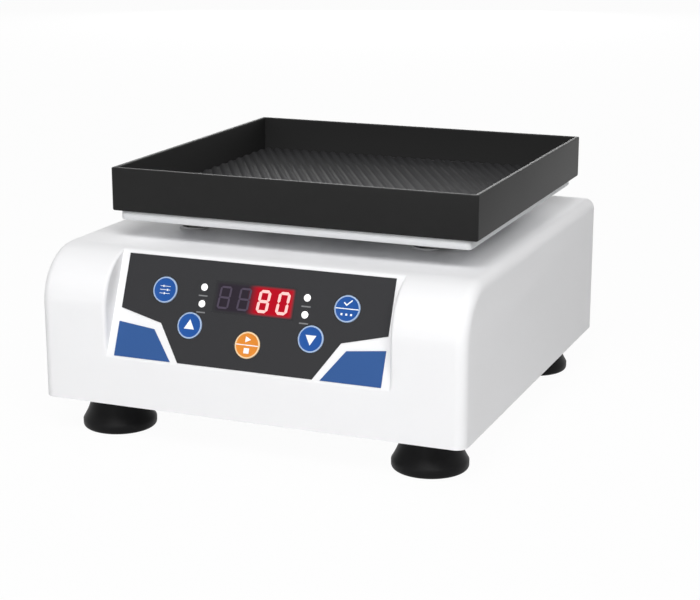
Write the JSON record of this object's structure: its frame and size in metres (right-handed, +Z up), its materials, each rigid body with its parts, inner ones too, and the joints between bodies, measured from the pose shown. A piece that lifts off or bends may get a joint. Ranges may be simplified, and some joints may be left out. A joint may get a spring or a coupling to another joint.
{
  "type": "orbital shaker",
  "caption": "Benchtop orbital shaker: a low-walled tray with a ribbed mat circles on a plate above a housing with a tilted key panel, on flared rubber feet.",
  "frame": {"origin": "on the floor under the middle of the housing", "axes": "+Z up, -Y towards the user and the key panel, +X to the right"},
  "size_m": [0.275, 0.2884, 0.1643],
  "materials": {
    "housing_white": "satin moulded cover",
    "base_steel": "grey powder coat",
    "foot_rubber": "matt black rubber",
    "screw_steel": "plain zinc",
    "drive_aluminium": "machined",
    "shaft_steel": "ground",
    "bearing_steel": "polished",
    "weight_iron": "bare",
    "motor_grey": "satin",
    "belt_rubber": "matt",
    "plate_white": "white powder coat",
    "tray_black": "matt black coat",
    "mat_rubber": "ribbed",
    "film_dark": "printed film",
    "film_blue": "printed film",
    "key_blue": "satin",
    "key_orange": "satin",
    "window_tint": "tinted",
    "display_black": "matt",
    "lamp_white": "diffused",
    "board_green": "solder mask",
    "switch_black": "matt",
    "inlet_black": "matt",
    "pin_brass": "bright",
    "rocker_red": "gloss",
    "cable_grey": "flat cable"
  },
  "bodies": {
    "housing": {"housing_shell": "housing_white", "base_plate": "base_steel", "base_screws": "screw_steel", "foot_screws": "screw_steel", "drive_frame": "drive_aluminium", "frame_posts": "drive_aluminium", "frame_screws": "screw_steel", "lower_bearing_housing": "drive_aluminium", "upper_bearing_housing": "drive_aluminium", "main_bearings": "bearing_steel", "idler_housings": "drive_aluminium", "idler_bearings": "bearing_steel", "motor_body": "motor_grey", "motor_bracket": "base_steel", "motor_screws": "screw_steel", "drive_belt": "belt_rubber", "panel_film": "film_dark", "corner_films": "film_blue", "display_window": "window_tint", "display_module": "display_black", "indicator_lamps": "lamp_white", "key_switches": "switch_black", "control_board": "board_green", "board_screws": "screw_steel", "power_board": "board_green", "transformer": "weight_iron", "ribbon_cable": "cable_grey", "rear_panel": "base_steel", "power_inlet": "inlet_black", "inlet_pins": "pin_brass", "switch_body": "switch_black", "fuse_holder": "inlet_black", "rear_screws": "screw_steel", "foot_front_left": "foot_rubber", "foot_front_right": "foot_rubber", "foot_rear_left": "foot_rubber", "foot_rear_right": "foot_rubber"},
    "crank": {"crank_shaft": "shaft_steel", "driven_pulley": "drive_aluminium", "counterweight": "weight_iron"},
    "motor_rotor": {"motor_shaft": "shaft_steel", "motor_pulley": "drive_aluminium"},
    "platform": {"platform_plate": "plate_white", "platform_bearings": "bearing_steel", "tray": "tray_black", "tray_mat": "mat_rubber", "tray_screws": "screw_steel"},
    "rocker": {"switch_rocker": "rocker_red"},
    "idler_front_left_crank": {"idler_front_left": "shaft_steel"},
    "idler_front_right_crank": {"idler_front_right": "shaft_steel"},
    "idler_rear_left_crank": {"idler_rear_left": "shaft_steel"},
    "idler_rear_right_crank": {"idler_rear_right": "shaft_steel"},
    "key_set_button": {"key_set": "key_blue"},
    "key_up_button": {"key_up": "key_blue"},
    "key_run_button": {"key_run": "key_orange"},
    "key_down_button": {"key_down": "key_blue"},
    "key_memory_button": {"key_memory": "key_blue"}
  },
  "joints": [
    {"name": "crank_spin", "type": "hinge", "parent": "housing", "child": "crank", "pos_m": [0, 0.0107, 0.12], "axis": [0, 0, 1], "continuous": true},
    {"name": "platform_level", "type": "hinge", "parent": "crank", "child": "platform", "pos_m": [0.01, 0.0107, 0.13], "axis": [0, 0, 1], "continuous": true},
    {"name": "motor_spin", "type": "hinge", "parent": "housing", "child": "motor_rotor", "pos_m": [0, 0.1027, 0.08], "axis": [0, 0, 1], "continuous": true},
    {"name": "idler_front_left_spin", "type": "hinge", "parent": "housing", "child": "idler_front_left_crank", "pos_m": [-0.08, -0.0473, 0.12], "axis": [0, 0, 1], "continuous": true},
    {"name": "idler_front_right_spin", "type": "hinge", "parent": "housing", "child": "idler_front_right_crank", "pos_m": [0.08, -0.0473, 0.12], "axis": [0, 0, 1], "continuous": true},
    {"name": "idler_rear_left_spin", "type": "hinge", "parent": "housing", "child": "idler_rear_left_crank", "pos_m": [-0.08, 0.0687, 0.12], "axis": [0, 0, 1], "continuous": true},
    {"name": "idler_rear_right_spin", "type": "hinge", "parent": "housing", "child": "idler_rear_right_crank", "pos_m": [0.08, 0.0687, 0.12], "axis": [0, 0, 1], "continuous": true},
    {"name": "key_set_press", "type": "slide", "parent": "housing", "child": "key_set_button", "axis": [0, 0.9219, -0.3875], "range_m": [0, 0.0004], "stiffness_N_per_m": 600},
    {"name": "key_up_press", "type": "slide", "parent": "housing", "child": "key_up_button", "axis": [0, 0.9219, -0.3875], "range_m": [0, 0.0004], "stiffness_N_per_m": 600},
    {"name": "key_run_press", "type": "slide", "parent": "housing", "child": "key_run_button", "axis": [0, 0.9219, -0.3875], "range_m": [0, 0.0004], "stiffness_N_per_m": 600},
    {"name": "key_down_press", "type": "slide", "parent": "housing", "child": "key_down_button", "axis": [0, 0.9219, -0.3875], "range_m": [0, 0.0004], "stiffness_N_per_m": 600},
    {"name": "key_memory_press", "type": "slide", "parent": "housing", "child": "key_memory_button", "axis": [0, 0.9219, -0.3875], "range_m": [0, 0.0004], "stiffness_N_per_m": 600},
    {"name": "power_switch_rock", "type": "hinge", "parent": "housing", "child": "rocker", "pos_m": [0.049, 0.1377, 0.062], "axis": [1, 0, 0], "range_deg": [0, 16]}
  ],
  "couplings": [
    {"joint": "platform_level", "follows": "crank_spin", "ratio": -1},
    {"joint": "motor_spin", "follows": "crank_spin", "ratio": 5},
    {"joint": "idler_front_left_spin", "follows": "crank_spin", "ratio": 1},
    {"joint": "idler_front_right_spin", "follows": "crank_spin", "ratio": 1},
    {"joint": "idler_rear_left_spin", "follows": "crank_spin", "ratio": 1},
    {"joint": "idler_rear_right_spin", "follows": "crank_spin", "ratio": 1}
  ]
}
